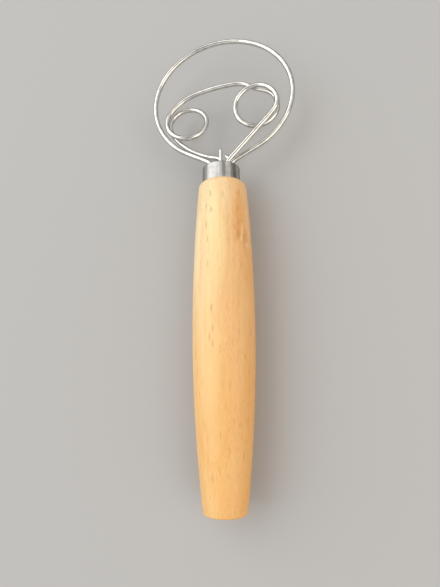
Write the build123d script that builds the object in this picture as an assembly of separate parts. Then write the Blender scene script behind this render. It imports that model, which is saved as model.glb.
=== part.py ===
"""Dough whisk: a turned beech handle with a steel collar, one open loop of stiff wire
and, inside the loop, one wire wound into two coils.

Everything is drawn in the whisk's own frame, in millimetres: +Y runs along the handle's
axis towards the loops, +Z is up from the lying whisk, and Y zero is the shoulder that
the collar seats on. At the end each piece moves to the shared frame, whose origin is
under the middle of the whisk on the surface that it lies on.
"""
from build123d import *
from math import acos, asin, atan2, cos, degrees, hypot, pi, radians, sin, sqrt, tan
import os

# Handle, turned from one piece of beech
handle_length = 155.5
barrel_diameter = 30.0
bulge_place = 72.0             # from the shoulder to the thickest place
shoulder_diameter = 24.0
shoulder_rounding = 2.2
butt_diameter = 19.7
butt_rounding = 0.9
seam_turn = 90.0               # degrees, from the side, where the outline is drawn, to underneath

# Collar, a thin steel ring pressed over the handle's tenon
collar_diameter = 19.0
collar_length = 9.1
collar_wall = 0.8
collar_rounding = 0.55
collar_inner_rounding = 0.2
collar_recess = 1.5            # from the collar's rim down to the tenon's end
collar_fit = 0.05              # glue gap between collar and tenon
mouth_shift = -0.7             # the collar and all in it sit this far off the handle's middle

# Bore, and the resin that holds the wires in it
bore_depth = 30.0
resin_wall = 0.5               # resin between the outermost wire end and the bore
resin_fit = 0.05               # thin gap all round the resin
end_clearance = 2.0            # from the wire ends to the bottom of the bore

# Both wires
wire_diameter = 2.4
bend_radius = 3.5              # where the legs turn into the bore

# Outer loop: an oval, open over the mouth, with straight necks
loop_half_width = 37.5
loop_half_length = 34.85
loop_opening = 60.0            # degrees from the oval's side down to where the necks start
loop_steps = 4
neck_bend_radius = 5.0
neck_rise = 3.2                # from the collar's rim up to the corner of the right neck
neck_hole_side = 4.8           # from the middle of the mouth to each end of the loop

# Right coil of the inner wire, flat, with its leg on top
right_coil_radius = 11.0
right_coil_margin = 7.9        # from the middle of the loop's wire to that of the coil
right_coil_drop = 8.8          # its middle lies this far below the loop's middle
right_coil_pitch_gap = 1.5     # clear height between its turns
right_coil_start = 5.0         # degrees, counted from +X
right_coil_turn = 425.0        # degrees
right_coil_height = 4.4        # of its first turn over the handle's axis
right_leg_inset = 0.75         # the leg passes this far inside the coil's circle
right_leg_stop = 2.2           # it is straight up to this far before the coil
right_leg_rise = 2.5           # from the collar's rim up to the leg's corner
right_hole_side = 4.1
right_hole_height = 3.2

# Arch between the coils
arch_rise = 5.6                # over the right coil's top
arch_place = 6.8               # its highest point, to the right of the handle's middle

# Left coil, tilted, closing in a little towards its leg
left_coil_radius = 11.1
left_coil_closing = 1.3        # by this much its radius shrinks over its turns
left_coil_margin = 7.0
left_coil_drop = 10.6
left_coil_pitch_gap = 0.7
left_coil_start = 150.0        # degrees
left_coil_turn = 415.0         # degrees
left_coil_pitch = -9.9         # degrees of tilt about X
left_coil_roll = 4.9           # degrees of tilt about Y
left_leg_rise = 7.85
left_leg_angle = -11.8         # degrees, where the leg reaches the pin
left_leg_bend_radius = 3.0
left_hole_side = -0.7
left_hole_height = -3.0

coil_steps = 5

# Locking pin in the middle of the mouth, and the weld bead beside it
pin_diameter = 1.75
pin_height = 1.0               # over the handle's axis
pin_proud = 11.0               # over the collar's rim
pin_depth = 16.0               # below the collar's rim
pin_rounding = 0.8
bead_radius = 0.75
bead_foot_radius = 1.1
bead_reach = 2.45              # from the middle of the right leg to that of the bead's end
bead_fit = 0.05

# Overrun of every cutting tool
overrun = 1.0
# Spacing of the points that a wire's gap to itself is measured on
gap_spacing = 0.6
# Two stations this close to facing each other are joined by a line
straight_angle = 0.01          # degrees

wire_radius = wire_diameter / 2
barrel_radius = barrel_diameter / 2
collar_radius = collar_diameter / 2
collar_inner_radius = collar_radius - collar_wall
tenon_radius = collar_inner_radius - collar_fit
tenon_length = collar_length - collar_recess
bore_radius = hypot(right_hole_side, right_hole_height) + wire_radius + resin_wall
bore_bottom = tenon_length - bore_depth
wire_end = bore_bottom + end_clearance

along = Vector(0, 1, 0)


def round_bar(radius, bottom, top, side=0.0, height=0.0):
    """A bar along Y between two places, off the mouth's middle by side and height."""
    plane = Plane(origin=(mouth_shift + side, bottom, height), z_dir=along)
    return plane * Cylinder(radius, top - bottom, align=(Align.CENTER, Align.CENTER, Align.MIN))


# Stations of a wire: a point and the direction in which the wire passes through it

def biarc(start, end):
    """Two tangent arcs from one station to the next, or a line where they face each other."""
    (first, leaving), (last, arriving) = start, end
    chord = last - first
    if leaving.get_angle(chord) + arriving.get_angle(chord) < straight_angle:
        return [Line(first, last)]
    both = leaving + arriving
    turn_share = 2 * (1 - leaving.dot(arriving))
    reach_root = sqrt(chord.dot(both) ** 2 + turn_share * chord.dot(chord))
    reach = (reach_root - chord.dot(both)) / turn_share
    near = first + leaving * reach
    far = last - arriving * reach
    joint = (near + far) * 0.5
    return [
        TangentArc(first, joint, tangent=leaving),
        TangentArc(joint, last, tangent=far - near),
    ]


def bend(corner, arriving, leaving, radius):
    """The two stations between which an arc rounds a corner."""
    half_turn = acos(arriving.dot(leaving)) / 2
    reach = radius * tan(half_turn)
    return [(corner - arriving * reach, arriving), (corner + leaving * reach, leaving)]


def wire_through(stations):
    """A round wire through its stations, and the path of its middle."""
    edges = []
    for start, end in zip(stations, stations[1:]):
        edges += [piece.edge() for piece in biarc(start, end)]
    path = Wire(edges)
    section = Plane(origin=path @ 0, z_dir=path % 0) * Circle(wire_radius)
    return sweep(section, path=path), path


def least_gap(path):
    """Least clear gap between a wire and itself, on points along its middle."""
    count = round(path.length / gap_spacing)
    points = [path @ (i / count) for i in range(count + 1)]
    apart = round(2 * pi * wire_diameter / gap_spacing)
    gaps = [
        (points[i] - points[j]).length
        for i in range(len(points))
        for j in range(i + apart, len(points))
    ]
    return min(gaps) - wire_diameter


# %% Handle: two arcs that meet at the bulge, a rounded shoulder, a tenon and a bore
shoulder_point = (shoulder_diameter / 2, 0)
bulge_point = (barrel_radius, -bulge_place)
butt_point = (butt_diameter / 2, -handle_length)
handle_outline = Curve() + [
    Line((0, 0), shoulder_point),
    TangentArc(shoulder_point, bulge_point, tangent=(0, 1), tangent_from_first=False),
    TangentArc(bulge_point, butt_point, tangent=(0, -1)),
    Line(butt_point, (0, -handle_length)),
    Line((0, -handle_length), (0, 0)),
]
handle_half = make_face(handle_outline)
shoulder_corner = handle_half.vertices().sort_by_distance(shoulder_point)[0]
handle_half = fillet(shoulder_corner, shoulder_rounding)
butt_corner = handle_half.vertices().sort_by_distance(butt_point)[0]
handle_half = fillet(butt_corner, butt_rounding)
handle = revolve(handle_half, axis=Axis.Y).rotate(Axis.Y, seam_turn)
handle += round_bar(tenon_radius, -overrun, tenon_length)
handle -= round_bar(bore_radius, bore_bottom, tenon_length + overrun)

# %% Collar: a ring with a rounded rim
collar = round_bar(collar_radius, 0, collar_length)
collar -= round_bar(collar_inner_radius, -overrun, collar_length + overrun)
rim_edges = collar.edges().filter_by(GeomType.CIRCLE).group_by(Axis.Y)[-1].sort_by(SortBy.RADIUS)
collar = fillet(rim_edges[-1], collar_rounding)
rim_inner_edge = collar.edges().filter_by(GeomType.CIRCLE).group_by(Axis.Y)[-1].sort_by(SortBy.RADIUS)[0]
collar = fillet(rim_inner_edge, collar_inner_rounding)

# %% Outer loop: from the bore, up the right neck, round the oval and back down the left neck
opening = radians(loop_opening)
neck_slope = loop_half_length * cos(opening) / (loop_half_width * sin(opening))
neck_start_x = loop_half_width * cos(opening)
neck_corner_x = mouth_shift + neck_hole_side
neck_height = (neck_start_x - neck_corner_x) * neck_slope
loop_middle = collar_length + neck_rise + neck_height + loop_half_length * sin(opening)


def loop_station(angle):
    """Station of the oval at an angle from +X, going anticlockwise."""
    point = Vector(loop_half_width * cos(angle), loop_middle + loop_half_length * sin(angle), 0)
    heading = Vector(-loop_half_width * sin(angle), loop_half_length * cos(angle), 0)
    return point, heading.normalized()


oval_turn = pi + 2 * opening
oval = [loop_station(oval_turn * i / loop_steps - opening) for i in range(loop_steps + 1)]
right_neck = oval[0][1]
left_neck = oval[-1][1]
left_hole_x = mouth_shift - neck_hole_side
left_corner_y = oval[-1][0].Y - (left_hole_x - oval[-1][0].X) * neck_slope
right_corner = Vector(neck_corner_x, collar_length + neck_rise, 0)
left_corner = Vector(left_hole_x, left_corner_y, 0)
loop_stations = [
    (Vector(neck_corner_x, wire_end, 0), along),
    *bend(right_corner, along, right_neck, neck_bend_radius),
    *oval,
    *bend(left_corner, left_neck, -along, neck_bend_radius),
    (Vector(left_hole_x, wire_end, 0), -along),
]
outer_loop, outer_path = wire_through(loop_stations)

# %% Inner wire: right leg, right coil, arch, left coil, left leg
right_coil_middle = Vector(
    loop_half_width - right_coil_margin - right_coil_radius, loop_middle - right_coil_drop, 0
)
left_coil_middle = Vector(
    left_coil_radius + left_coil_margin - loop_half_width, loop_middle - left_coil_drop, 0
)


def coil_stations(middle, radius, closing, start, turn, fall, tilts=(0, 0)):
    """Stations of a coil that turns anticlockwise and falls by fall in each full turn."""
    placed = Location(middle, (tilts[0], tilts[1], 0), Extrinsic.XYZ)
    tilted = Location((0, 0, 0), (tilts[0], tilts[1], 0), Extrinsic.XYZ)
    stations = []
    for i in range(coil_steps + 1):
        turned = radians(turn) * i / coil_steps
        angle = radians(start) + turned
        reach = radius - closing * i / coil_steps
        growth = -closing / radians(turn)
        point = Vector(reach * cos(angle), reach * sin(angle), -fall * turned / (2 * pi))
        heading = Vector(
            growth * cos(angle) - reach * sin(angle),
            growth * sin(angle) + reach * cos(angle),
            -fall / (2 * pi),
        )
        on_coil = (placed * Location(point)).position
        stations.append((on_coil, (tilted * Location(heading)).position.normalized()))
    return stations


def shifted(stations, move):
    """The same stations, moved."""
    return [(point + move, heading) for point, heading in stations]


right_coil = shifted(
    coil_stations(
        right_coil_middle,
        right_coil_radius,
        0,
        right_coil_start,
        right_coil_turn,
        wire_diameter + right_coil_pitch_gap,
    ),
    Vector(0, 0, right_coil_height),
)
arch_height = right_coil[-1][0].Z
arch_top = right_coil_middle.Y + right_coil_radius + arch_rise
arch = [(Vector(arch_place, arch_top, arch_height), Vector(-1, 0, 0))]
left_coil = coil_stations(
    left_coil_middle,
    left_coil_radius,
    left_coil_closing,
    left_coil_start,
    left_coil_turn,
    wire_diameter + left_coil_pitch_gap,
    (left_coil_pitch, left_coil_roll),
)
left_coil = shifted(left_coil, Vector(0, 0, arch_height - left_coil[0][0].Z))

# The right leg rises from its corner over the mouth, tangent to a circle inside the coil
right_leg_corner = Vector(
    mouth_shift + right_hole_side, collar_length + right_leg_rise, right_hole_height
)
to_coil = right_coil_middle - right_leg_corner
coil_distance = hypot(to_coil.X, to_coil.Y)
leg_circle = right_coil_radius - right_leg_inset
leg_angle = atan2(to_coil.Y, to_coil.X) - asin(leg_circle / coil_distance)
leg_run = sqrt(coil_distance**2 - leg_circle**2) - right_leg_stop
right_leg_top = Vector(
    right_leg_corner.X + leg_run * cos(leg_angle),
    right_leg_corner.Y + leg_run * sin(leg_angle),
    right_coil_height,
)
right_leg = (right_leg_top - right_leg_corner).normalized()
right_leg_bend = bend(right_leg_corner, along, right_leg, bend_radius)

# The left leg comes back nearly level and turns down into the bore behind the pin
left_leg = Vector(cos(radians(left_leg_angle)), sin(radians(left_leg_angle)), 0)
left_leg_corner = Vector(
    mouth_shift + left_hole_side, collar_length + left_leg_rise, left_hole_height
)
left_leg_bend = bend(left_leg_corner, left_leg, -along, left_leg_bend_radius)

inner_stations = [
    (Vector(right_leg_corner.X, wire_end, right_hole_height), along),
    *right_leg_bend,
    (right_leg_top, right_leg),
    *right_coil,
    *arch,
    *left_coil,
    *left_leg_bend,
    (Vector(left_leg_corner.X, wire_end, left_hole_height), -along),
]
inner_wire, inner_path = wire_through(inner_stations)

# %% Locking pin: a straight round pin with a rounded tip
pin_bottom = collar_length - pin_depth
pin_top = collar_length + pin_proud
locking_pin = round_bar(pin_diameter / 2, pin_bottom, pin_top, height=pin_height)
locking_pin = fillet(locking_pin.edges().sort_by(Axis.Y)[-1], pin_rounding)

# %% Weld bead: a small cone with a round end, on the side of the right leg
bead_foot, bead_heading = right_leg_bend[1]
bead_side = Vector(-bead_heading.Y, bead_heading.X, 0).normalized()
bead_plane = Plane(origin=bead_foot, z_dir=bead_side)
weld_bead = bead_plane * Cone(
    bead_foot_radius, bead_radius, bead_reach, align=(Align.CENTER, Align.CENTER, Align.MIN)
)
weld_bead += bead_plane * Pos(0, 0, bead_reach) * Sphere(bead_radius)
leg_plane = Plane(origin=bead_foot, z_dir=bead_heading)
weld_bead -= leg_plane * Cylinder(wire_radius + bead_fit, 2 * bead_foot_radius + wire_diameter)

# %% Resin plug: fills the bore round the wire ends and the pin
resin_plug = round_bar(bore_radius - resin_fit, bore_bottom + resin_fit, tenon_length)
hole_places = [
    (neck_hole_side, 0, wire_radius, wire_end),
    (-neck_hole_side, 0, wire_radius, wire_end),
    (right_hole_side, right_hole_height, wire_radius, wire_end),
    (left_hole_side, left_hole_height, wire_radius, wire_end),
    (0, pin_height, pin_diameter / 2, pin_bottom),
]
for side, height, radius, bottom in hole_places:
    resin_plug -= round_bar(
        radius + resin_fit, bottom - resin_fit, tenon_length + overrun, side, height
    )

# %% Place every piece in the shared frame and write it
loop_end = loop_middle + loop_half_length + wire_radius
to_frame = Location((0, (handle_length - loop_end) / 2, barrel_radius))
pieces = {
    "handle": handle,
    "ferrule": collar,
    "outer_loop": outer_loop,
    "inner_wire": inner_wire,
    "locking_pin": locking_pin,
    "weld_bead": weld_bead,
    "resin_plug": resin_plug,
}
os.makedirs("parts", exist_ok=True)
for name, piece in pieces.items():
    placed = to_frame * piece
    solid = placed.solid()
    solid.label = name
    export_step(solid, f"parts/{name}.step")
    box = solid.bounding_box()
    print(f"{name}: {solid.volume:.1f} mm3, Y {box.min.Y:.2f} to {box.max.Y:.2f}")

tube_volume = pi * wire_radius**2
print(f"outer loop: volume {outer_loop.volume / (tube_volume * outer_path.length):.4f} of its length's")
print(f"inner wire: volume {inner_wire.volume / (tube_volume * inner_path.length):.4f} of its length's")
print(f"outer loop: least gap to itself {least_gap(outer_path):.2f} mm")
print(f"inner wire: least gap to itself {least_gap(inner_path):.2f} mm")
print(f"right leg stands {degrees(leg_angle):.1f} degrees from X, overall length {handle_length + loop_end:.1f} mm")
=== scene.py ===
# %% [markdown]
# # A dough whisk, from its frame to its portrait
# The whisk is a turned beech handle with a pressed steel collar. Out of the collar come
# one open loop of stiff wire and, inside it, one wire wound into two coils.
#
# The construction was drawn elsewhere and is loaded here as a fixed frame, in metres:
# +Y runs from the butt of the handle to the loops, +Z is up, and the whisk lies on the
# floor at Z zero. Every piece made below takes its place from that frame. Sizes are
# written in millimetres and multiplied by MM, unless a name or a comment says otherwise.

from math import cos, hypot, pi, radians, sin, sqrt

import bmesh
import bpy
from mathutils import Euler, Matrix, Vector


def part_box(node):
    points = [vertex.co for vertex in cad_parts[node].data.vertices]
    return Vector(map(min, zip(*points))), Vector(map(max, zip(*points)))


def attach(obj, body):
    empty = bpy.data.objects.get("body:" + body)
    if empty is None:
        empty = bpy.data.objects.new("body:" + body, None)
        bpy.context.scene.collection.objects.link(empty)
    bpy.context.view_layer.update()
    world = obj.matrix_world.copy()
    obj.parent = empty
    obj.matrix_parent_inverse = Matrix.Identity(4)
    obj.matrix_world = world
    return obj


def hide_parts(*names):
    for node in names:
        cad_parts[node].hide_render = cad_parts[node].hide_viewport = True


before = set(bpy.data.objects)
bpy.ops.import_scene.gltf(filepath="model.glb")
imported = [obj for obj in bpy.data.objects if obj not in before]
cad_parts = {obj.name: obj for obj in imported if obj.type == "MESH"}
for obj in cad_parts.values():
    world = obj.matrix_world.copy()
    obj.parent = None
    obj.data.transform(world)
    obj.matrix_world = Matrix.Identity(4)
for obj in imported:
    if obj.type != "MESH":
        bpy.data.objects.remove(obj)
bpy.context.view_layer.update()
MM = 0.001

handle_low, handle_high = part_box("handle")
collar_low, collar_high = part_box("ferrule")
shoulder_y = collar_low.y
rim_y = collar_high.y
butt_y = handle_low.y
axis_height = (handle_low.z + handle_high.z) / 2
mouth_x = (collar_low.x + collar_high.x) / 2
print("nodes:", ", ".join(sorted(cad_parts)))
print(f"handle from y {butt_y / MM:.1f} to {shoulder_y / MM:.1f} mm, its axis {axis_height / MM:.1f} mm up")
print(f"collar rim at y {rim_y / MM:.1f} mm, its middle at x {mouth_x / MM:.1f} mm")

# %% [markdown]
# ## Camera
# The photograph was taken from close by, a hand's span above the whisk, with the wide
# lens of a telephone, so the head, which is further off, looks smaller than it is. A
# camera set up by eye would show the loops at the wrong slant. This one's place and turn
# come from lining up the whisk's known lengths with the picture. A portrait frame puts
# the sensor's long side upright, so the lens counts on its height.

# %% Camera
camera_place = Vector((44.37, -66.49, 219.86)) * MM
camera_turn = (11.909, 12.785, -0.411)  # degrees about X, Y and Z
lens_length = 27.05  # millimetres, as on a lens
sensor_length = 36  # millimetres

camera_data = bpy.data.cameras.new("camera")
camera_data.sensor_width = sensor_length
camera_data.lens = lens_length
camera_data.clip_start = 10 * MM
camera = bpy.data.objects.new("camera", camera_data)
camera.location = camera_place
camera.rotation_euler = Euler([radians(turn) for turn in camera_turn])
bpy.context.scene.collection.objects.link(camera)
bpy.context.scene.camera = camera
print(f"camera {camera_place.z / MM:.0f} mm over the floor, lens {lens_length} mm")

# %% [markdown]
# ## Floor and light
# Polished wire shows nothing of its own: it shows the room, squeezed across its width.
# Under lamps alone it would be black with a few white lines. So the room is a soft
# white dome with two dark places. Near the floor it is dim, which draws a dark line
# along each side of a wire, and straight overhead, where a camera is held, it is dim
# again, which draws the fine line along its middle. The dome is brighter on the left,
# as in the photograph, where the handle turns from pale gold on its left to amber on
# its right.
#
# Two soft boxes give the light a side: a white one on the left, like a window, and a
# weaker, warm one on the right. They are large and stand a metre and a half away, so
# their light falls evenly and the whisk's shadow is soft. The camera doesn't see the
# dome itself. Past the floor's edge it sees a plain backdrop in the floor's own grey.

# %% Floor
floor_side = 4  # metres
floor_colour = (0.5, 0.495, 0.486, 1)

bpy.ops.object.select_all(action="DESELECT")
bpy.ops.mesh.primitive_plane_add(size=floor_side)
floor = bpy.context.active_object
floor.name = "floor"

floor_paint = bpy.data.materials.new("floor_paint")
floor_paint.use_nodes = True
floor_shader = floor_paint.node_tree.nodes["Principled BSDF"]
floor_shader.inputs["Base Color"].default_value = floor_colour
floor_shader.inputs["Roughness"].default_value = 0.7
floor_shader.inputs["Specular IOR Level"].default_value = 0.0
floor.data.materials.append(floor_paint)
print("floor:", floor_side, "m each way")


# %% Soft boxes
def soft_box(name, place, size, power, colour):
    """A rectangular lamp that faces the middle of the whisk."""
    lamp = bpy.data.lights.new(name, "AREA")
    lamp.shape = "RECTANGLE"
    lamp.size, lamp.size_y = size
    lamp.energy = power
    lamp.color = colour
    box = bpy.data.objects.new(name, lamp)
    box.location = place
    aim = Vector((0, 0, axis_height)) - box.location
    box.rotation_euler = aim.to_track_quat("-Z", "Y").to_euler()
    bpy.context.scene.collection.objects.link(box)
    print(f"{name}: {aim.length:.2f} m from the whisk, {power} W")


# Each box has its place and its width and height in metres, its power in watts and its colour
soft_box("window_box", (-1.04, 0.40, 0.92), (2.2, 2.0), 15, (1, 0.99, 0.97))
soft_box("warm_box", (1.20, -0.38, 0.82), (1.44, 1.68), 8.6, (1, 0.88, 0.74))
bpy.context.scene.view_settings.view_transform = "Standard"

# %% The dome
# Each band has a height, from 0 at the horizon and below it to 1 overhead, and a brightness
dome_bands = [(0.0, 0.03), (0.12, 0.05), (0.26, 0.85), (0.885, 1.0), (0.945, 0.3), (1.0, 0.1)]
left_strength = 0.97
right_strength = 0.71

world = bpy.data.worlds.new("room")
world.use_nodes = True
bpy.context.scene.world = world
sky = world.node_tree
room = sky.nodes["Background"]
sky_place = sky.nodes.new("ShaderNodeTexCoord")
heading = sky.nodes.new("ShaderNodeSeparateXYZ")
sky.links.new(sky_place.outputs["Generated"], heading.inputs[0])

# A new ramp comes with two stops: these take the first two bands, and the rest are added
dome = sky.nodes.new("ShaderNodeValToRGB")
dome.color_ramp.interpolation = "EASE"
for i, (level, brightness) in enumerate(dome_bands):
    if i < 2:
        stop = dome.color_ramp.elements[i]
        stop.position = level
    else:
        stop = dome.color_ramp.elements.new(level)
    stop.color = (brightness, brightness, brightness, 1)
sky.links.new(heading.outputs["Z"], dome.inputs[0])
sky.links.new(dome.outputs["Color"], room.inputs["Color"])

side = sky.nodes.new("ShaderNodeMapRange")
side.inputs["From Min"].default_value = -1
side.inputs["To Min"].default_value = left_strength
side.inputs["To Max"].default_value = right_strength
sky.links.new(heading.outputs["X"], side.inputs["Value"])
sky.links.new(side.outputs["Result"], room.inputs["Strength"])
print("dome bands:", len(dome_bands))

# %% Plain backdrop behind the floor
backdrop_colour = (0.47, 0.465, 0.457, 1)

backdrop = sky.nodes.new("ShaderNodeBackground")
backdrop.inputs["Color"].default_value = backdrop_colour
sight = sky.nodes.new("ShaderNodeLightPath")
seen = sky.nodes.new("ShaderNodeMixShader")
sky.links.new(sight.outputs["Is Camera Ray"], seen.inputs[0])
sky.links.new(room.outputs[0], seen.inputs[1])
sky.links.new(backdrop.outputs[0], seen.inputs[2])
sky.links.new(seen.outputs[0], sky.nodes["World Output"].inputs["Surface"])
print("backdrop for the camera only:", backdrop_colour)

# %% [markdown]
# ## Small helpers for modelling
# Everything below is modelled as by hand: a primitive is added, and then extruded,
# inset, scaled and bevelled in edit mode. An operator acts on whatever is selected, so
# the helpers deselect everything first and then select by place.


# %% Helpers for edit mode
def begin(piece):
    """Go into edit mode on one piece alone."""
    bpy.ops.object.select_all(action="DESELECT")
    piece.select_set(True)
    bpy.context.view_layer.objects.active = piece
    bpy.ops.object.mode_set(mode="EDIT")


def select_where(piece, test):
    """In edit mode, select the vertices whose place passes a test, and the faces they fill."""
    bpy.ops.mesh.select_mode(type="VERT")
    bpy.ops.mesh.select_all(action="DESELECT")
    shape = bmesh.from_edit_mesh(piece.data)
    for vertex in shape.verts:
        vertex.select = test(vertex.co)
    shape.select_flush(True)
    bmesh.update_edit_mesh(piece.data)


def select_ring(piece, y, least=0.0):
    """In edit mode, select the vertices at one place along Y, no nearer to the axis than least."""
    same_place = 0.01 * MM

    def on_ring(place):
        return abs(place.y - y) < same_place and hypot(place.x, place.z - axis_height) > least

    select_where(piece, on_ring)


def finish_piece(piece, smooth_angle=35):
    """Leave edit mode with outward normals and smooth shading up to an angle in degrees."""
    bpy.ops.mesh.select_all(action="SELECT")
    bpy.ops.mesh.normals_make_consistent(inside=False)
    bpy.ops.object.mode_set(mode="OBJECT")
    bpy.ops.object.shade_smooth_by_angle(angle=radians(smooth_angle))
    print(f"{piece.name}: {len(piece.data.polygons)} faces")


def apply_place(piece):
    """Move a piece's place and turn into its mesh, so that its object sits at the origin."""
    bpy.ops.object.transform_apply(location=True, rotation=True, scale=True)
    print(f"{piece.name}: object at", tuple(piece.location))


print("helpers for modelling: begin, select_where, select_ring, finish_piece, apply_place")

# %% [markdown]
# ## Handle
# The real handle is turned on a lathe: a long, slow bulge that swells to its thickest
# place in the palm and draws in to a flat butt. It could be spun from a drawn outline.
# Here a disc at the butt is extruded ring by ring and each ring is scaled to the bulge's
# two arcs, which keeps every ring where the wood's light turns and leaves quads that a
# bevel can follow. The collar's seat is then inset and raised from the last ring, moved
# off the middle as the bored handle's is, and the bore is sunk into it.

# %% Handle outline
shoulder_radius = 12 * MM
barrel_radius = (handle_high.z - handle_low.z) / 2
butt_radius = 9.85 * MM
bulge_to_shoulder = 72 * MM
bulge_y = shoulder_y - bulge_to_shoulder


def turned_radius(y):
    """Radius of the turned handle at a place along Y: one arc each side of the bulge."""
    end_y, end_radius = (shoulder_y, shoulder_radius) if y > bulge_y else (butt_y, butt_radius)
    run = end_y - bulge_y
    fall = barrel_radius - end_radius
    arc_radius = (run**2 + fall**2) / (2 * fall)
    return barrel_radius - arc_radius + sqrt(arc_radius**2 - (y - bulge_y) ** 2)


for spot, y in [("butt", butt_y), ("bulge", bulge_y), ("shoulder", shoulder_y)]:
    print(f"radius at the {spot}: {turned_radius(y) / MM:.2f} mm")

# %% Turned handle
handle_sides = 96
ring_count = 30

bpy.ops.object.select_all(action="DESELECT")
bpy.ops.mesh.primitive_circle_add(
    vertices=handle_sides,
    radius=butt_radius,
    fill_type="NGON",
    location=(0, butt_y, axis_height),
    rotation=(pi / 2, 0, 0),
)
handle = bpy.context.active_object
handle.name = "turned_handle"
apply_place(handle)

begin(handle)
bpy.ops.mesh.select_all(action="SELECT")
ring_step = (shoulder_y - butt_y) / ring_count
for i in range(ring_count):
    y = butt_y + ring_step * (i + 1)
    swell = turned_radius(y) / turned_radius(y - ring_step)
    bpy.ops.mesh.extrude_region_move(TRANSFORM_OT_translate={"value": (0, ring_step, 0)})
    bpy.ops.transform.resize(value=(swell, 1, swell), center_override=(0, y, axis_height))
print(f"{ring_count} rings, {ring_step / MM:.2f} mm apart")

# %% Collar seat and bore
tenon_radius = 8.65 * MM
bore_radius = 6.9 * MM
tenon_length = handle_high.y - shoulder_y
bore_depth = 30 * MM

bpy.ops.mesh.inset(thickness=shoulder_radius - tenon_radius)
bpy.ops.transform.translate(value=(mouth_x, 0, 0))
bpy.ops.mesh.extrude_region_move(TRANSFORM_OT_translate={"value": (0, tenon_length, 0)})
bpy.ops.mesh.inset(thickness=tenon_radius - bore_radius)
bpy.ops.mesh.extrude_region_move(TRANSFORM_OT_translate={"value": (0, -bore_depth, 0)})
print(f"tenon {tenon_length / MM:.1f} mm long, bore {bore_depth / MM:.0f} mm deep")

# %% Rounded shoulder and butt
shoulder_rounding = 2.2 * MM
butt_rounding = 0.9 * MM
outside_tenon = 11.5 * MM

select_ring(handle, shoulder_y, least=outside_tenon)
bpy.ops.mesh.bevel(offset=shoulder_rounding, segments=8)
select_ring(handle, butt_y)
bpy.ops.mesh.bevel(offset=butt_rounding, segments=5)
finish_piece(handle)
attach(handle, "root")
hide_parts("handle")

# %% [markdown]
# ## Drop of weld
# A small bright drop of weld stands on the side of the right leg, where the two legs of
# the inner wire were tacked. A ball on a cone would meet the wire in a hard crease. Here
# an oval ring inside the wire is extruded outwards ring by ring: it is wide along the
# wire, draws in to a neck as molten steel does, and swells again to the round end.

# %% Place of the drop
bead_radius = 0.75 * MM
drop_reach = 2.45 * MM  # from the foot, inside the wire, to the middle of the round end
leg_direction = (0.703, 0.711, 0)

bead_low, bead_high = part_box("weld_bead")
leg_ahead = Vector(leg_direction).normalized()
leg_side = Vector((-leg_ahead.y, leg_ahead.x, 0))
drop_middle = Vector((bead_low.x + bead_radius, bead_high.y - bead_radius, (bead_low.z + bead_high.z) / 2))
drop_foot = drop_middle - leg_side * drop_reach
print("drop at", [round(part / MM, 1) for part in drop_middle], "mm")

# %% Drop
# Each ring has its height over the foot, and its radius along the leg and across it, in mm
drop_rings = [
    (0.55, 1.75, 1.0),
    (0.95, 1.4, 0.97),
    (1.25, 1.1, 0.9),
    (1.6, 0.9, 0.82),
    (1.95, 0.82, 0.8),
    (2.2, 0.86, 0.86),
    (2.5, 0.9, 0.9),
    (2.8, 0.83, 0.83),
    (3.05, 0.66, 0.66),
    (3.22, 0.42, 0.42),
    (3.3, 0.16, 0.16),
]
small_sides = 32
small_smooth_angle = 60

bpy.ops.object.select_all(action="DESELECT")
bpy.ops.mesh.primitive_circle_add(vertices=small_sides, radius=MM, fill_type="NGON", location=(0, 0, 0))
drop = bpy.context.active_object
drop.name = "weld_drop"
begin(drop)
bpy.ops.mesh.select_all(action="SELECT")
reached, last_along, last_across = 0, 1, 1
for level, along_leg, across_leg in drop_rings:
    if reached:
        bpy.ops.mesh.extrude_region_move()
    bpy.ops.transform.translate(value=(0, 0, (level - reached) * MM))
    growth = (along_leg / last_along, across_leg / last_across, 1)
    bpy.ops.transform.resize(value=growth, center_override=(0, 0, level * MM))
    reached, last_along, last_across = level, along_leg, across_leg
finish_piece(drop, small_smooth_angle)

# %% Drop on the leg
leg_axes = Matrix((leg_ahead, leg_side.cross(leg_ahead), leg_side)).transposed()
drop.matrix_world = Matrix.Translation(drop_foot) @ leg_axes.to_4x4()
apply_place(drop)
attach(drop, "root")
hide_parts("weld_bead")

# %% [markdown]
# ## Menisci of the resin
# Resin creeps a little way up each wire before it sets. The plug from the frame is flat
# on top, so a small ring that sweeps up to the wire is set round each one. A bevel on
# the plug would need its mesh changed, which belongs to the frame. So each ring is a
# circle extruded step by step along the wire and drawn in a little less each time.

# %% Wires in the mouth of the collar
wire_radius = 1.2 * MM
pin_radius = 0.875 * MM
resin_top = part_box("resin_plug")[1].y

# Each one has its place across and up from the middle of the mouth, in mm, and its radius
wires_in_mouth = [
    (4.8, 0, wire_radius),
    (-4.8, 0, wire_radius),
    (4.1, 3.2, wire_radius),
    (-0.7, -3.0, wire_radius),
    (0, 1.0, pin_radius),
]

# Each step has its height over the resin's top and its distance from the wire, in mm
creep = [(-0.1, 0.62), (0.04, 0.5), (0.12, 0.3), (0.26, 0.14), (0.5, 0.03), (0.62, -0.1)]
print(f"{len(wires_in_mouth)} wires leave the resin at y {resin_top / MM:.1f} mm")


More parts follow.
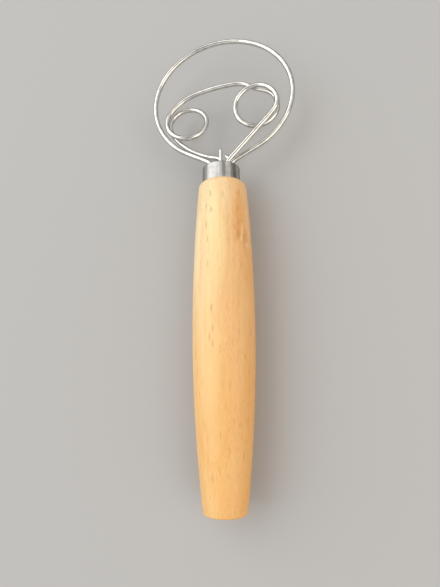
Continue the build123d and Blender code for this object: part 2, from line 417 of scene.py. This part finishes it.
# %% Menisci
def meniscus(middle, inner_radius):
    """One ring of resin round a wire, in the plug's top at first and in the wire at last."""
    first_level, first_gap = creep[0]
    bpy.ops.object.select_all(action="DESELECT")
    bpy.ops.mesh.primitive_circle_add(
        vertices=small_sides,
        radius=inner_radius + first_gap * MM,
        fill_type="NGON",
        location=middle + Vector((0, first_level * MM, 0)),
        rotation=(pi / 2, 0, 0),
    )
    ring = bpy.context.active_object
    bpy.ops.object.transform_apply(location=True, rotation=True, scale=True)
    begin(ring)
    bpy.ops.mesh.select_all(action="SELECT")
    for (low, wide), (high, narrow) in zip(creep, creep[1:]):
        bpy.ops.mesh.extrude_region_move(TRANSFORM_OT_translate={"value": (0, (high - low) * MM, 0)})
        draw_in = (inner_radius + narrow * MM) / (inner_radius + wide * MM)
        ring_middle = middle + Vector((0, high * MM, 0))
        bpy.ops.transform.resize(value=(draw_in, 1, draw_in), center_override=ring_middle)
    bpy.ops.object.mode_set(mode="OBJECT")
    return ring


rings = []
for across_mouth, up_mouth, inner_radius in wires_in_mouth:
    wire_middle = Vector((mouth_x + across_mouth * MM, resin_top, axis_height + up_mouth * MM))
    rings.append(meniscus(wire_middle, inner_radius))

bpy.ops.object.select_all(action="DESELECT")
for ring in rings:
    ring.select_set(True)
bpy.ops.object.join()
resin_menisci = bpy.context.active_object
resin_menisci.name = "resin_menisci"
begin(resin_menisci)
finish_piece(resin_menisci, small_smooth_angle)
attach(resin_menisci, "root")

# %% [markdown]
# ## Small helpers for materials
# A material is a tree of nodes. The helpers keep each of its lines short: one adds a
# node with its values, one mixes two colours, one does a sum on two numbers.


# %% Helpers for nodes
def paint(red, green, blue):
    """A colour as picked on screen, from 0 to 255, in the linear light that nodes use."""
    return tuple((part / 255) ** 2.2 for part in (red, green, blue)) + (1,)


def feed(tree, value, socket):
    """Give a socket a value, or link it to another node's output."""
    if isinstance(value, bpy.types.NodeSocket):
        tree.links.new(value, socket)
    else:
        socket.default_value = value


def add_node(tree, kind, inputs=None, **settings):
    """A node of one kind, with its settings, and its inputs by name."""
    made = tree.nodes.new(kind)
    for name, value in settings.items():
        setattr(made, name, value)
    for name, value in (inputs or {}).items():
        feed(tree, value, made.inputs[name])
    return made


def number(tree, operation, first, second=0.0):
    """The result of one sum on two numbers."""
    made = add_node(tree, "ShaderNodeMath", operation=operation)
    feed(tree, first, made.inputs[0])
    feed(tree, second, made.inputs[1])
    return made.outputs[0]


def vector_sum(tree, operation, first, second):
    """The result of one sum on two vectors, or on a vector and a scale."""
    made = add_node(tree, "ShaderNodeVectorMath", operation=operation)
    feed(tree, first, made.inputs[0])
    feed(tree, second, made.inputs["Scale" if operation == "SCALE" else 1])
    return made.outputs[0]


def from_axis(tree, first, second):
    """The distance from an axis, worked out from the two places across it."""
    squares = number(tree, "ADD", number(tree, "POWER", first, 2), number(tree, "POWER", second, 2))
    return number(tree, "POWER", squares, 0.5)


def mixed(tree, share, first, second, blend="MIX"):
    """Two colours mixed by a share. The node has sockets for numbers before those for colours."""
    made = add_node(tree, "ShaderNodeMix", data_type="RGBA", blend_type=blend)
    feed(tree, share, made.inputs[0])
    feed(tree, first, made.inputs[6])
    feed(tree, second, made.inputs[7])
    return made.outputs[2]


def spread(tree, value, start, full, to_start=0.0, to_full=1.0):
    """A number turned softly into a share: none at start and all at full, whichever is larger."""
    made = add_node(
        tree,
        "ShaderNodeMapRange",
        {"Value": value, "From Min": start, "From Max": full, "To Min": to_start, "To Max": to_full},
        interpolation_type="SMOOTHSTEP",
    )
    return made.outputs["Result"]


print("helpers for nodes: paint, feed, add_node, number, vector_sum, from_axis, mixed, spread")


# %% Helpers for groups and materials
def new_group(name, inputs, outputs):
    """An empty node group with named inputs and outputs, each a name, a kind and a value."""
    tree = bpy.data.node_groups.new(name, "ShaderNodeTree")
    for socket_name, kind, value in inputs:
        socket = tree.interface.new_socket(socket_name, in_out="INPUT", socket_type=kind)
        if value is not None:
            socket.default_value = value
    for socket_name, kind in outputs:
        tree.interface.new_socket(socket_name, in_out="OUTPUT", socket_type=kind)
    return tree, tree.nodes.new("NodeGroupInput"), tree.nodes.new("NodeGroupOutput")


def use_group(tree, group, inputs):
    """A group placed in a material with its own values."""
    placed = add_node(tree, "ShaderNodeGroup", node_tree=group)
    for name, value in inputs.items():
        feed(tree, value, placed.inputs[name])
    return placed


def new_material(name):
    """A material with its tree, its shader and the object's own coordinates."""
    material = bpy.data.materials.new(name)
    material.use_nodes = True
    tree = material.node_tree
    place = tree.nodes.new("ShaderNodeTexCoord").outputs["Object"]
    return material, tree, tree.nodes["Principled BSDF"], place


def dress(piece, material):
    """Give a piece one material in place of any that it had."""
    piece.data.materials.clear()
    piece.data.materials.append(material)
    print(f"{piece.name} wears {material.name}")


print("helpers for materials: new_group, use_group, new_material, dress")

# %% [markdown]
# ## Stretched noise
# Wood fibre and drawn steel share one look: a noise pulled out along one direction. The
# group takes the size of one speck in millimetres along each axis, so that a finish is
# written in the sizes that one would measure on the real thing.

# %% Stretched noise group
stretched_noise, group_in, group_out = new_group(
    "stretched_noise",
    [
        ("Place", "NodeSocketVector", None),
        ("Speck size in mm", "NodeSocketVector", (1, 1, 1)),
        ("Detail", "NodeSocketFloat", 2.0),
    ],
    [("Value", "NodeSocketFloat")],
)
speck_size = vector_sum(stretched_noise, "SCALE", group_in.outputs["Speck size in mm"], MM)
in_specks = vector_sum(stretched_noise, "DIVIDE", group_in.outputs["Place"], speck_size)
specks = add_node(
    stretched_noise,
    "ShaderNodeTexNoise",
    {"Vector": in_specks, "Scale": 1.0, "Detail": group_in.outputs["Detail"]},
)
feed(stretched_noise, specks.outputs["Fac"], group_out.inputs["Value"])


def noise(tree, place, size_in_mm, detail=2.0):
    """A stretched noise placed in a material or in another group."""
    values = {"Place": place, "Speck size in mm": size_in_mm, "Detail": detail}
    return use_group(tree, stretched_noise, values).outputs["Value"]


print("group:", stretched_noise.name)

# %% [markdown]
# ## Soft spot
# Some marks are on one place only, such as a fleck in the wood and a band of painted
# reflection on the collar. The group puts out a share that is one round a centre and falls
# softly to zero just past its reach, both in millimetres. A little noise fed in draws its
# edge in by a different amount at each place, and so makes it ragged.

# %% Soft spot group
spot_full = 0.45  # shares of the reach, where the spot is whole and where it has ended
spot_end = 1.15

soft_spot, group_in, group_out = new_group(
    "soft_spot",
    [
        ("Place", "NodeSocketVector", None),
        ("Centre in mm", "NodeSocketVector", (0, 0, 0)),
        ("Reach in mm", "NodeSocketVector", (1, 1, 1)),
        ("Raggedness", "NodeSocketFloat", 0.0),
    ],
    [("Share", "NodeSocketFloat")],
)
in_mm = vector_sum(soft_spot, "SCALE", group_in.outputs["Place"], 1 / MM)
from_centre = vector_sum(soft_spot, "SUBTRACT", in_mm, group_in.outputs["Centre in mm"])
in_reaches = vector_sum(soft_spot, "DIVIDE", from_centre, group_in.outputs["Reach in mm"])
far = add_node(soft_spot, "ShaderNodeVectorMath", {"Vector": in_reaches}, operation="LENGTH")
ragged_far = number(soft_spot, "ADD", far.outputs["Value"], group_in.outputs["Raggedness"])
feed(soft_spot, spread(soft_spot, ragged_far, start=spot_end, full=spot_full), group_out.inputs["Share"])
print("group:", soft_spot.name)

# %% [markdown]
# ## Beech
# Beech is pale honey with a warm amber in its denser zones. Cut along the stem it shows
# soft growth rings, and everywhere short brown flecks: the ends of its rays, thin sheets
# that run from the pith outwards. Painted on as a picture, the flecks would look wrong
# on the butt. So the pattern is a solid one, in the coordinates of the stem: out from
# the pith, round it and along it. A ray is long outwards, short along and thin round, so
# the same noise gives flecks on the face, and fine spokes on the end grain.

# %% Stem coordinates
pith = Vector((21, 0, -58)) * MM  # from the handle's axis
bend_size = (26, 70, 26)
bend_depth = 9 * MM

beech, wood, wood_shader, wood_place = new_material("beech")
to_pith = (-pith.x, 0, -axis_height - pith.z)
place_in_stem = add_node(wood, "ShaderNodeMapping", {"Vector": wood_place, "Location": to_pith})
stem_parts = add_node(wood, "ShaderNodeSeparateXYZ", {"Vector": place_in_stem.outputs[0]})
across, along, upward = stem_parts.outputs
bend = number(wood, "MULTIPLY", noise(wood, wood_place, bend_size, detail=1.0), bend_depth)
outward = number(wood, "ADD", from_axis(wood, across, upward), bend)
round_stem = number(wood, "MULTIPLY", number(wood, "ARCTAN2", across, upward), pith.length)
stem = add_node(wood, "ShaderNodeCombineXYZ", {"X": outward, "Y": round_stem, "Z": along}).outputs[0]
print("pith", tuple(round(part / MM) for part in pith), "mm from the handle's axis")

# %% Broad figure: rings, zones and sides
# A size of the figure is in mm outwards from the pith, round it and along it
zone_size = (9, 13, 60)
ring_width = 2.6 * MM

ring_phase = number(wood, "FRACT", number(wood, "DIVIDE", outward, ring_width))
ring_line = spread(wood, ring_phase, start=0.55, full=1.0)
zones = spread(wood, noise(wood, stem, zone_size, detail=3.0), start=0.36, full=0.66)
heart_side = spread(wood, outward, start=pith.length + 12 * MM, full=pith.length - 6 * MM)
# Paler towards the collar end: in part painted light falling from the head end, in part the wood's own tone
collar_end_light_and_tone = spread(wood, along, start=shoulder_y - 120 * MM, full=shoulder_y - 8 * MM)
# Painted shade: amber laid on the +X side of the handle, the side turned away from the window box
painted_side_shade = spread(wood, across, start=-6 * MM - pith.x, full=13 * MM - pith.x)
print("rings", ring_width / MM, "mm apart")

# %% Fine figure: streaks, fibre and rays
streak_size = (2.2, 1.5, 42)
line_size = (1.2, 0.45, 48)
fibre_size = (0.35, 0.3, 7)
ray_size = (6, 0.42, 2.6)
ray_crowd_size = (14, 5, 16)
long_mark_size = (4, 0.9, 6.5)

streaks = spread(wood, noise(wood, stem, streak_size, detail=3.0), start=0.42, full=0.72)
long_lines = spread(wood, noise(wood, stem, line_size, detail=1.0), start=0.66, full=0.76)
fibre = noise(wood, stem, fibre_size)
ray_field = spread(wood, noise(wood, stem, ray_size, detail=1.0), start=0.60, full=0.70)
ray_crowd = spread(wood, noise(wood, stem, ray_crowd_size, detail=1.0), start=0.40, full=0.66)
rays = number(wood, "MULTIPLY", ray_field, ray_crowd)
long_marks = spread(wood, noise(wood, stem, long_mark_size, detail=1.0), start=0.66, full=0.74)
print("rays", ray_size[2], "mm long on the face")

# %% Beech colour
pale = paint(251, 231, 184)
honey = paint(247, 199, 129)
amber = paint(238, 164, 84)
brown = paint(186, 106, 48)
olive = paint(173, 133, 50)
straw = paint(253, 240, 172)


def stained(colour, mask, strength, stain):
    """The wood's colour with a stain laid on where a mask says, at some strength."""
    return mixed(wood, number(wood, "MULTIPLY", mask, strength), colour, stain)


wood_stains = [
    (zones, 0.3, amber),
    (heart_side, 0.3, amber),
    # painted shade on the +X side
    (painted_side_shade, 0.46, amber),
    (streaks, 0.25, amber),
    (ring_line, 0.14, amber),
    (rays, 0.24, brown),
    (long_lines, 0.12, brown),
    (long_marks, 0.2, brown),
]
# The wood goes from honey to pale towards the collar end: partly painted light, partly the wood's tone
wood_colour = mixed(wood, collar_end_light_and_tone, honey, pale)
for mask, strength, stain in wood_stains:
    wood_colour = stained(wood_colour, mask, strength, stain)
print("stains in the wood:", len(wood_stains))

# %% [markdown]
# ## Marks of this one handle
# The figure so far would suit any handle of this wood. This one is known by a warm patch
# with a pale slit beside the shoulder, a pale stretch down the middle and some single
# flecks, and no noise would put them there. So each is a soft spot, centred on the
# barrel's upper side at the place measured on the photograph. A picture laid over the
# handle would stretch them round its sides, while these are part of the solid wood.

# %% Marks on the barrel
mark_depth_mm = 8
ragged_share = 0.5

ragged_edge = number(wood, "MULTIPLY", fibre, ragged_share)


def barrel_mark(across_mm, along_mm, reach_mm):
    """A soft spot on the upper side of the barrel, its edge made ragged by the fibre."""
    radius_mm = turned_radius(along_mm * MM) / MM
    centre = (across_mm, along_mm, axis_height / MM + sqrt(radius_mm**2 - across_mm**2))
    values = {
        "Place": wood_place,
        "Centre in mm": centre,
        "Reach in mm": (*reach_mm, mark_depth_mm),
        "Raggedness": ragged_edge,
    }
    return use_group(wood, soft_spot, values).outputs["Share"]


# Each mark has its place across the handle and along it, its reach across and along, all
# in mm, and its strength and stain
handle_marks = [
    (-1.5, 4, (9, 46), 0.36, straw),
    (-4, -42, (6.5, 42), 0.45, honey),
    (13.3, -9, (5, 26), 0.4, amber),
    (10.2, 13, (5, 24), 0.6, amber),
    (9.5, 25.8, (1.3, 2.4), 0.2, brown),
    (8.9, 17.6, (0.9, 3.2), 0.24, brown),
    (9.7, 10.3, (1.0, 3.0), 0.24, brown),
    (8.1, 7.6, (0.9, 2.6), 0.26, brown),
    (9.5, 4.2, (1.4, 5.0), 0.42, brown),
    (12.1, 2.6, (1.7, 7.0), 0.32, brown),
    (11.1, 6.4, (0.65, 6.0), 0.4, pale),
    (10.8, 2.3, (0.8, 2.4), 0.42, pale),
    (12.8, -0.2, (1.1, 2.0), 0.3, pale),
    (8.8, -3.7, (1.2, 2.0), 0.3, honey),
    (-3.6, 25.3, (0.95, 2.8), 0.38, olive),
    (-5.6, 18.8, (0.8, 3.2), 0.46, olive),
    (-3.0, 16.6, (1.2, 2.2), 0.34, olive),
    (2.7, 24.0, (0.9, 2.6), 0.26, olive),
    (-5.4, 9.3, (0.8, 2.8), 0.34, olive),
    (-4.7, 1.8, (0.8, 3.2), 0.32, olive),
    (-4.5, -10.4, (0.8, 3.2), 0.3, olive),
    (-2.6, -31.2, (0.95, 3.0), 0.34, brown),
    (-2.1, -40.9, (0.8, 3.0), 0.3, brown),
    (-3.4, -44.4, (0.8, 3.2), 0.36, brown),
    (-2.1, -47.4, (0.8, 2.8), 0.28, brown),
    (-3.0, -104.2, (0.9, 3.0), 0.26, brown),
]
for across_mm, along_mm, reach_mm, strength, stain in handle_marks:
    wood_colour = stained(wood_colour, barrel_mark(across_mm, along_mm, reach_mm), strength, stain)
print("marks on the barrel:", len(handle_marks))

# %% [markdown]
# ## End grain, fibre and gloss of the wood
# On the flat butt the fibres are cut across, so the wood there drinks more light: it is
# darker, its rings show and its pores are open. The direction that the surface faces
# tells the two kinds of surface apart. Where the collar meets the shoulder a thin dark
# line is painted: contact shade, with a little dirt. Over all of it lie the fibre, as a
# fine change of brightness and a fine relief, and the faint rings that the turning left.

# %% End grain
pore_size = (0.22, 0.22, 9)
end_strength = 0.3

facing = add_node(wood, "ShaderNodeSeparateXYZ")
feed(wood, wood.nodes["Texture Coordinate"].outputs["Normal"], facing.inputs[0])
end_grain = spread(wood, number(wood, "ABSOLUTE", facing.outputs["Y"]), start=0.7, full=0.98)
end_rings = number(wood, "MULTIPLY", spread(wood, ring_phase, start=0.35, full=1.0), end_grain)
pore_field = spread(wood, noise(wood, stem, pore_size, detail=1.0), start=0.6, full=0.72)
pores = number(wood, "MULTIPLY", pore_field, end_grain)
for mask, stain in [(end_grain, amber), (end_rings, brown), (pores, brown)]:
    wood_colour = stained(wood_colour, mask, end_strength, stain)
print("end grain on the butt and the tenon")

# %% Painted shade in the seam under the collar
collar_foot = (mouth_x, shoulder_y, axis_height)
seam_shade_strength = 0.6

at_collar = add_node(
    wood, "ShaderNodeMapping", {"Vector": wood_place, "Location": collar_foot}, vector_type="TEXTURE"
)
seam_across, seam_along, seam_upward = add_node(
    wood, "ShaderNodeSeparateXYZ", {"Vector": at_collar.outputs[0]}
).outputs
near_collar = spread(wood, from_axis(wood, seam_across, seam_upward), start=10.4 * MM, full=9.7 * MM)
past_handle = spread(wood, seam_along, start=-1.2 * MM, full=-0.1 * MM)
before_rim = spread(wood, seam_along, start=1.5 * MM, full=0.5 * MM)
# A thin brown line of painted contact shade, with a little dirt, where the collar meets the shoulder
seam_shade = number(wood, "MULTIPLY", number(wood, "MULTIPLY", near_collar, past_handle), before_rim)
wood_colour = stained(wood_colour, seam_shade, seam_shade_strength, brown)
print("seam at y", round(shoulder_y / MM, 1), "mm")

# %% Fibre in the colour
fibre_shade = spread(wood, fibre, start=0.3, full=0.7, to_start=0.95, to_full=1.04)
fibre_colour = add_node(
    wood, "ShaderNodeCombineColor", {"Red": fibre_shade, "Green": fibre_shade, "Blue": fibre_shade}
)
wood_colour = mixed(wood, 1.0, wood_colour, fibre_colour.outputs[0], blend="MULTIPLY")
feed(wood, wood_colour, wood_shader.inputs["Base Color"])
print("fibre over the colour")

# %% Relief and gloss
gloss_size = (3, 2, 25)
lathe_size = (60, 0.45, 60)
relief_depth = 0.06 * MM

gloss_field = noise(wood, stem, gloss_size)
wood_roughness = spread(wood, gloss_field, start=0.3, full=0.7, to_start=0.38, to_full=0.52)
# Each part of the relief has its share, and the rays lie a little below the fibre
relief = 0.0
for mask, share in [(fibre, 0.5), (rays, -0.6), (noise(wood, wood_place, lathe_size), 0.5)]:
    relief = number(wood, "ADD", relief, number(wood, "MULTIPLY", mask, share))
wood_bump = add_node(
    wood, "ShaderNodeBump", {"Height": relief, "Strength": 0.25, "Distance": relief_depth}
)
feed(wood, wood_roughness, wood_shader.inputs["Roughness"])
feed(wood, wood_bump.outputs[0], wood_shader.inputs["Normal"])
wood_shader.inputs["Specular IOR Level"].default_value = 0.45
wood_shader.inputs["Coat Weight"].default_value = 0.2
wood_shader.inputs["Coat Roughness"].default_value = 0.3
dress(handle, beech)
print("beech nodes:", len(wood.nodes))

# %% [markdown]
# ## Steel
# Three steels are on the whisk: bright drawn wire, the pressed collar and the ground
# pin. A perfect mirror would look like glass or water. What tells steel is its wear, and
# all three have the same marks in different strengths, so these are one group: fine
# scratches, cloudy smudges that change the gloss, a slow waviness of the surface that
# bends long reflections, and dark streaks, which only the collar has.

# %% Worn steel group and its marks
cloud_size = (3.5, 3.5, 3.5)

worn_steel, group_in, group_out = new_group(
    "worn_steel",
    [
        ("Place", "NodeSocketVector", None),
        ("Scratch size in mm", "NodeSocketVector", (0.2, 0.2, 0.2)),
        ("Polished roughness", "NodeSocketFloat", 0.1),
        ("Dulled roughness", "NodeSocketFloat", 0.25),
        ("Wave size in mm", "NodeSocketVector", (2.5, 2.5, 2.5)),
        ("Wave share", "NodeSocketFloat", 0.3),
        ("Streak size in mm", "NodeSocketVector", (0.6, 14, 0.6)),
        ("Streak share", "NodeSocketFloat", 0.0),
    ],
    [
        ("Roughness", "NodeSocketFloat"),
        ("Height", "NodeSocketFloat"),
        ("Dulling", "NodeSocketFloat"),
        ("Streaks", "NodeSocketFloat"),
    ],
)
wear_in = group_in.outputs
clouds = noise(worn_steel, wear_in["Place"], cloud_size, detail=3.0)
scratches = noise(worn_steel, wear_in["Place"], wear_in["Scratch size in mm"])
waves = noise(worn_steel, wear_in["Place"], wear_in["Wave size in mm"], detail=0.0)
streak_lines = noise(worn_steel, wear_in["Place"], wear_in["Streak size in mm"])
print("group:", worn_steel.name)

# %% What the worn steel group puts out
cloud_share = 0.7
scratch_share = 0.3
scratch_height = 0.06

dulling = spread(worn_steel, clouds, start=0.42, full=0.68)
cloud_part = number(worn_steel, "MULTIPLY", dulling, cloud_share)
scratch_part = number(worn_steel, "MULTIPLY", scratches, scratch_share)
steel_roughness = add_node(
    worn_steel,
    "ShaderNodeMapRange",
    {
        "Value": number(worn_steel, "ADD", cloud_part, scratch_part),
        "To Min": wear_in["Polished roughness"],
        "To Max": wear_in["Dulled roughness"],
    },
)
wave_part = number(worn_steel, "MULTIPLY", waves, wear_in["Wave share"])
steel_height = number(
    worn_steel, "ADD", number(worn_steel, "MULTIPLY", scratches, scratch_height), wave_part
)
streak_field = spread(worn_steel, streak_lines, start=0.42, full=0.66)
dark_streaks = number(worn_steel, "MULTIPLY", streak_field, wear_in["Streak share"])
feed(worn_steel, steel_roughness.outputs[0], group_out.inputs["Roughness"])
feed(worn_steel, steel_height, group_out.inputs["Height"])
feed(worn_steel, dulling, group_out.inputs["Dulling"])
feed(worn_steel, dark_streaks, group_out.inputs["Streaks"])
print("puts out:", ", ".join(socket.name for socket in group_out.inputs if socket.name))

# %% Steel as a material
edge_tint = (0.25, 0.25, 0.25, 1)
streak_shade = paint(96, 94, 90)
steel_relief = 0.15 * MM


def steel(name, bright, dull, bump_strength, wear):
    """A bare steel: its bright and dull colours, the strength of its relief, and its wear by socket."""
    material, tree, shader, place = new_material(name)
    worn = use_group(tree, worn_steel, {"Place": place, **wear})
    tint = mixed(tree, worn.outputs["Dulling"], bright, dull)
    tint = mixed(tree, worn.outputs["Streaks"], tint, streak_shade)
    bump = add_node(
        tree,
        "ShaderNodeBump",
        {"Height": worn.outputs["Height"], "Strength": bump_strength, "Distance": steel_relief},
    )
    feed(tree, tint, shader.inputs["Base Color"])
    feed(tree, worn.outputs["Roughness"], shader.inputs["Roughness"])
    feed(tree, bump.outputs[0], shader.inputs["Normal"])
    shader.inputs["Metallic"].default_value = 1
    shader.inputs["Specular Tint"].default_value = edge_tint
    return material


print("steel relief", steel_relief / MM, "mm deep at full strength")

# %% The three steels
bright_steel = paint(230, 228, 222)
dull_steel = paint(206, 203, 195)
wire_wear = {
    "Scratch size in mm": (0.15, 0.15, 0.15),
    "Polished roughness": 0.1,
    "Dulled roughness": 0.2,
    "Wave size in mm": (3, 3, 3),
    "Wave share": 0.25,
}
collar_wear = {
    "Scratch size in mm": (0.12, 1.6, 0.12),
    "Polished roughness": 0.26,
    "Dulled roughness": 0.4,
    "Wave size in mm": (1.7, 18, 1.7),
    "Wave share": 1.0,
    "Streak size in mm": (1.4, 26, 1.4),
    "Streak share": 0.34,
}
pin_wear = {
    "Scratch size in mm": (0.1, 0.1, 0.1),
    "Polished roughness": 0.1,
    "Dulled roughness": 0.22,
    "Wave size in mm": (2, 2, 2),
    "Wave share": 0.2,
}
wire_steel = steel("wire_steel", bright_steel, dull_steel, 0.3, wire_wear)
collar_steel = steel("collar_steel", bright_steel, dull_steel, 0.8, collar_wear)
pin_steel = steel("pin_steel", paint(232, 232, 230), paint(210, 209, 206), 0.3, pin_wear)
for node_name, material in [
    ("outer_loop", wire_steel),
    ("inner_wire", wire_steel),
    ("ferrule", collar_steel),
    ("locking_pin", pin_steel),
    ("weld_bead", pin_steel),
]:
    dress(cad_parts[node_name], material)
dress(drop, pin_steel)

# %% [markdown]
# ## Painted reflection bands on the collar
# The collar is a thin sheet pressed round a tenon. Its steel shows one broad grey stretch a
# little left of its top and two narrow dark ones on its right: these are painted dark
# reflections, darker tints laid into the steel's colour. A dented mesh would give such
# reflections by itself, but the frame's mesh stays as it is, so they are soft spots on the
# ring, drawn out along the collar past both its ends.

# %% Painted reflection bands
collar_radius = (collar_high.x - collar_low.x) / 2
collar_middle = Vector((mouth_x, (shoulder_y + rim_y) / 2, axis_height))
band_length_mm = 40

# Each painted reflection band has its turn from the top towards +X in degrees, its reach in
# mm, its strength and its shade
collar_reflection_bands = [
    (-19, 4.6, 0.72, paint(170, 169, 166)),
    (19, 1.1, 0.5, streak_shade),
    (58, 1.7, 0.6, paint(70, 68, 64)),
]

collar_tree = collar_steel.node_tree
collar_place = collar_tree.nodes["Texture Coordinate"].outputs["Object"]
collar_colour = collar_tree.nodes["Principled BSDF"].inputs["Base Color"]
collar_tint = collar_colour.links[0].from_socket
# Each band darkens the steel's colour where a dark reflection is painted
for turn, reach, strength, shade in collar_reflection_bands:
    out = Vector((sin(radians(turn)), 0, cos(radians(turn)))) * collar_radius
    values = {
        "Place": collar_place,
        "Centre in mm": (collar_middle + out) / MM,
        "Reach in mm": (reach, band_length_mm, reach),
    }
    band = use_group(collar_tree, soft_spot, values).outputs["Share"]
    collar_tint = mixed(collar_tree, number(collar_tree, "MULTIPLY", band, strength), collar_tint, shade)
feed(collar_tree, collar_tint, collar_colour)
print("collar bands:", len(collar_reflection_bands))

# %% [markdown]
# ## Resin
# The wires are cast into the handle's bore with a brown resin, whose top shows a little
# way down inside the collar. Clear resin could be made with transmission, but at this
# size, over dark wood, only its colour and its wet shine are seen. So it is an opaque
# brown that is milky in places, with a gloss that changes with it and a slight ripple.

# %% Resin material
resin_dark = paint(120, 88, 52)
resin_light = paint(158, 124, 82)
milky_size = (2, 2, 2)
ripple_depth = 0.2 * MM

resin, cast, cast_shader, cast_place = new_material("resin")
milky = noise(cast, cast_place, milky_size, detail=3.0)
resin_colour = mixed(cast, spread(cast, milky, start=0.35, full=0.65), resin_dark, resin_light)
resin_roughness = spread(cast, milky, start=0.3, full=0.7, to_start=0.12, to_full=0.3)
ripple = add_node(cast, "ShaderNodeBump", {"Height": milky, "Strength": 0.3, "Distance": ripple_depth})
feed(cast, resin_colour, cast_shader.inputs["Base Color"])
feed(cast, resin_roughness, cast_shader.inputs["Roughness"])
feed(cast, ripple.outputs[0], cast_shader.inputs["Normal"])
dress(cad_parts["resin_plug"], resin)
dress(resin_menisci, resin)
